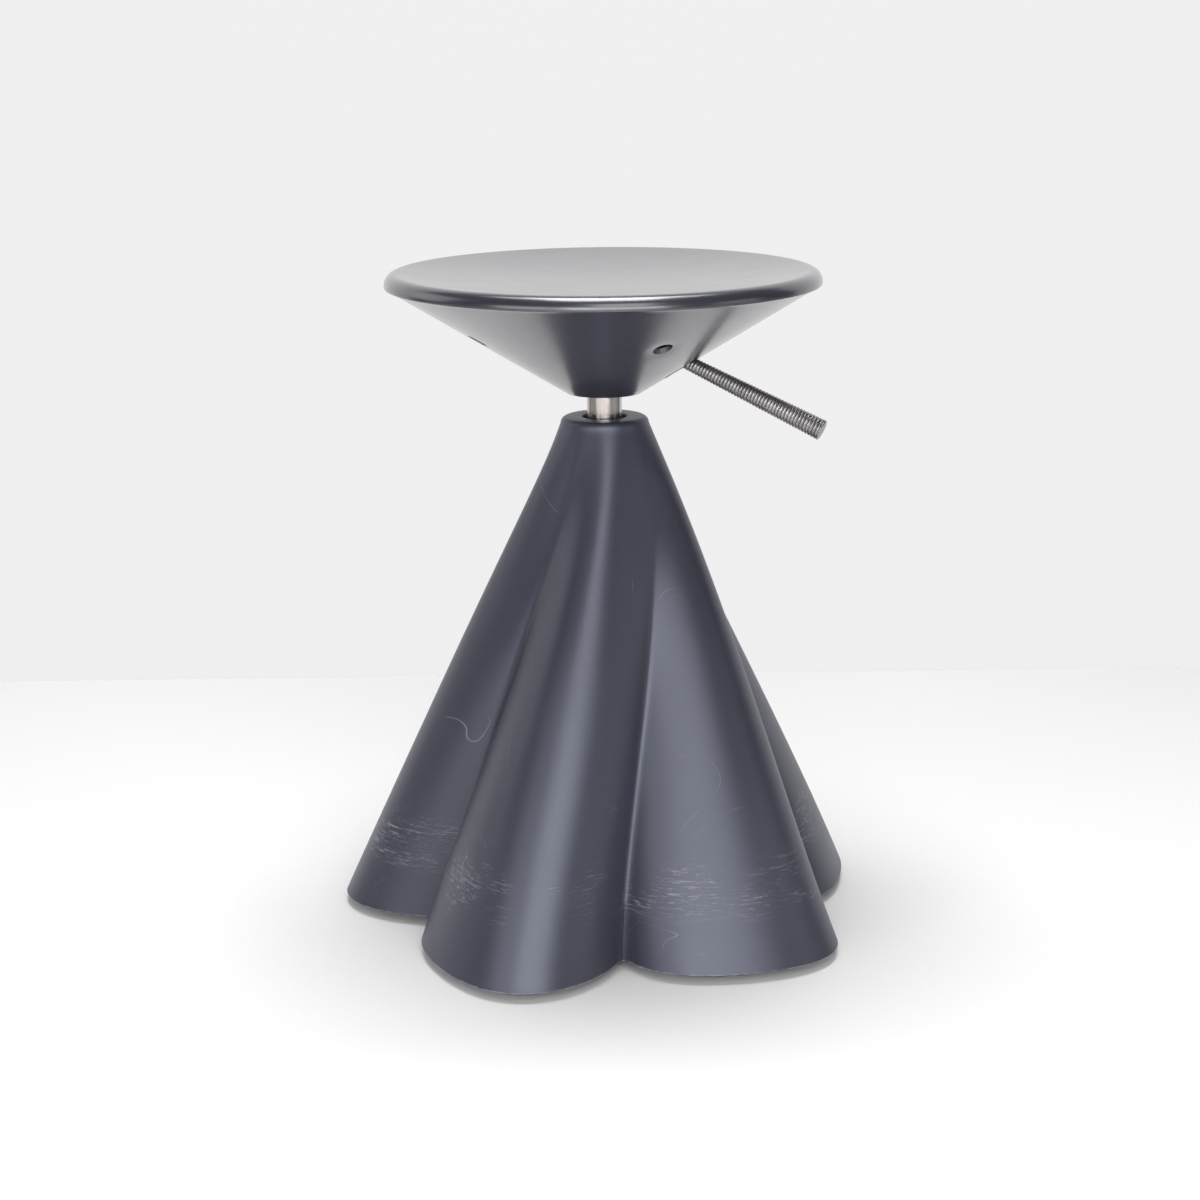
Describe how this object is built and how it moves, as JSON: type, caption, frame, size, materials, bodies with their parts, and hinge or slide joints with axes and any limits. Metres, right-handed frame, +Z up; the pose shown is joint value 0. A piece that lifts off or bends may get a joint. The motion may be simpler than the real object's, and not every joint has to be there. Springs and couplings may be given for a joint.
{
  "type": "revolving pedestal stool",
  "caption": "Height-adjustable revolving pedestal with a dished round top on a gas-lift column and a hollow swirled lobed base; a ribbed lever releases the height.",
  "frame": {"origin": "where the column's axis meets the flat underside of the steel bottom plate; the five feet stand 10 mm below it, so the floor is at z = -0.010", "axes": "+Z up along the column; the front of the object faces -Y, and the release lever points to +X turned 20.6 degrees towards -Y"},
  "size_m": [0.4257, 0.4304, 0.532],
  "materials": {
    "base_plastic": "satin rotomoulded blue-grey plastic with fine scuffs",
    "seat_plastic": "satin dark slate plastic, a little glossier than the base",
    "zinc_spindle": "zinc-plated steel with a faint pink-gold cast",
    "plated_steel": "zinc-plated steel",
    "bright_steel": "ground bright steel",
    "black_steel": "black powder-coated steel",
    "ribbed_grip": "dark grey turned metal with fine rings, bright on the crests",
    "rubber": "matt black rubber",
    "bush_plastic": "smooth black engineering plastic"
  },
  "bodies": {
    "base": {"base_shell": "base_plastic", "bottom_plate": "black_steel", "foot_1": "rubber", "foot_2": "rubber", "foot_3": "rubber", "foot_4": "rubber", "foot_5": "rubber", "foot_screw_1": "plated_steel", "foot_screw_2": "plated_steel", "foot_screw_3": "plated_steel", "foot_screw_4": "plated_steel", "foot_screw_5": "plated_steel", "support_post": "black_steel", "post_gusset_1": "black_steel", "post_gusset_2": "black_steel", "post_gusset_3": "black_steel", "post_gusset_4": "black_steel", "post_seat_ring": "black_steel", "column_tube": "black_steel", "column_floor": "black_steel", "guide_bush": "bush_plastic", "bearing_race_lower": "bright_steel"},
    "piston_rod_set": {"ball_cage": "bright_steel", "bearing_race_upper": "bright_steel", "bump_stop": "rubber", "piston_rod": "bright_steel", "rod_clip": "black_steel", "piston_head": "bright_steel"},
    "top": {"seat_pan": "seat_plastic", "under_shell": "seat_plastic", "mount_plate": "black_steel", "plate_screw_1": "plated_steel", "plate_screw_2": "plated_steel", "plate_screw_3": "plated_steel", "plate_screw_4": "plated_steel", "channel_bracket": "black_steel", "taper_socket": "black_steel", "pivot_pin": "plated_steel", "pivot_clip": "bright_steel", "gas_cylinder": "zinc_spindle", "valve_housing": "bush_plastic", "rod_seal": "rubber"},
    "lever": {"lever_arm": "plated_steel", "lever_grip": "ribbed_grip"},
    "release_pin": {"release_pin": "bright_steel"}
  },
  "joints": [
    {"name": "spin", "type": "hinge", "parent": "base", "child": "piston_rod_set", "pos_m": [0, 0, 0.29], "axis": [0, 0, 1], "continuous": true},
    {"name": "height", "type": "slide", "parent": "piston_rod_set", "child": "top", "axis": [0, 0, 1], "range_m": [0, 0.12]},
    {"name": "lever_press", "type": "hinge", "parent": "top", "child": "lever", "pos_m": [-0.02059, 0.00774, 0.4732], "axis": [0.3518, 0.9361, 0], "range_deg": [0, 10], "stiffness_Nm_per_rad": 2.5, "springref_deg": -17.19},
    {"name": "release_press", "type": "slide", "parent": "top", "child": "release_pin", "axis": [0, 0, -1], "range_m": [0, 0.0043]}
  ],
  "couplings": [
    {"joint": "release_press", "follows": "lever_press", "m_per_rad": 0.0246}
  ]
}
